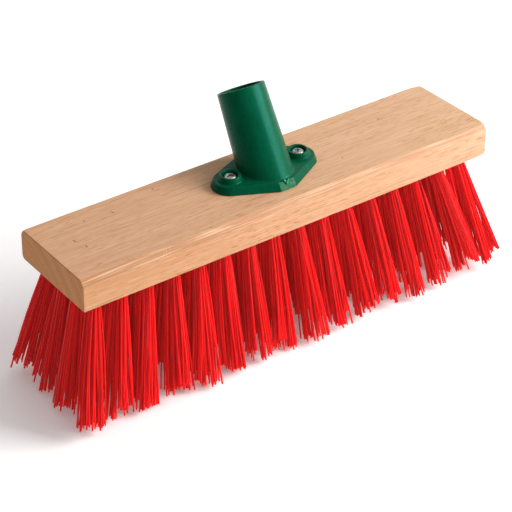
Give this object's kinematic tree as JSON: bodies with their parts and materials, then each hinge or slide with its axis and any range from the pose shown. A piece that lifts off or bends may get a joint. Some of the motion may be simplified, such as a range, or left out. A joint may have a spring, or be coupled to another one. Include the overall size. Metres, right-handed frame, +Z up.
{
  "type": "push broom head",
  "caption": "Wooden push broom head with stiff red bristle tufts in rows and a screwed-on, angled plastic handle socket; no handle fitted.",
  "frame": {"origin": "centre of the footprint on the floor plane that the bristle tips stand on", "axes": "+X along the block's length, +Y towards the side that the handle socket leans to, +Z up"},
  "size_m": [0.347, 0.0952, 0.1713],
  "materials": {
    "beech_wood": "planed and lightly sanded, unvarnished, fine straight grain along the length with short dark flecks",
    "green_plastic": "moulded polypropylene, semi-gloss with faint flow marks",
    "red_bristle": "stiff extruded PVC monofilament, satin",
    "zinc_steel": "bright zinc-plated steel"
  },
  "bodies": {
    "root": {"block": "beech_wood", "handle_socket": "green_plastic", "screw_left": "zinc_steel", "screw_right": "zinc_steel", "tuft_front_01": "red_bristle", "tuft_front_02": "red_bristle", "tuft_front_03": "red_bristle", "tuft_front_04": "red_bristle", "tuft_front_05": "red_bristle", "tuft_front_06": "red_bristle", "tuft_front_07": "red_bristle", "tuft_front_08": "red_bristle", "tuft_front_09": "red_bristle", "tuft_front_10": "red_bristle", "tuft_front_11": "red_bristle", "tuft_front_12": "red_bristle", "tuft_front_13": "red_bristle", "tuft_front_14": "red_bristle", "tuft_front_15": "red_bristle", "tuft_front_16": "red_bristle", "tuft_pair_mid_front_01": "red_bristle", "tuft_pair_mid_front_02": "red_bristle", "tuft_pair_mid_front_03": "red_bristle", "tuft_pair_mid_front_04": "red_bristle", "tuft_pair_mid_front_05": "red_bristle", "tuft_pair_mid_front_06": "red_bristle", "tuft_pair_mid_front_07": "red_bristle", "tuft_pair_mid_front_08": "red_bristle", "tuft_pair_mid_rear_01": "red_bristle", "tuft_pair_mid_rear_02": "red_bristle", "tuft_pair_mid_rear_03": "red_bristle", "tuft_pair_mid_rear_04": "red_bristle", "tuft_pair_mid_rear_05": "red_bristle", "tuft_pair_mid_rear_06": "red_bristle", "tuft_pair_mid_rear_07": "red_bristle", "tuft_pair_mid_rear_08": "red_bristle", "tuft_rear_01": "red_bristle", "tuft_rear_02": "red_bristle", "tuft_rear_03": "red_bristle", "tuft_rear_04": "red_bristle", "tuft_rear_05": "red_bristle", "tuft_rear_06": "red_bristle", "tuft_rear_07": "red_bristle", "tuft_rear_08": "red_bristle", "tuft_rear_09": "red_bristle", "tuft_rear_10": "red_bristle", "tuft_rear_11": "red_bristle", "tuft_rear_12": "red_bristle", "tuft_rear_13": "red_bristle", "tuft_rear_14": "red_bristle", "tuft_rear_15": "red_bristle", "tuft_rear_16": "red_bristle"}
  },
  "joints": []
}
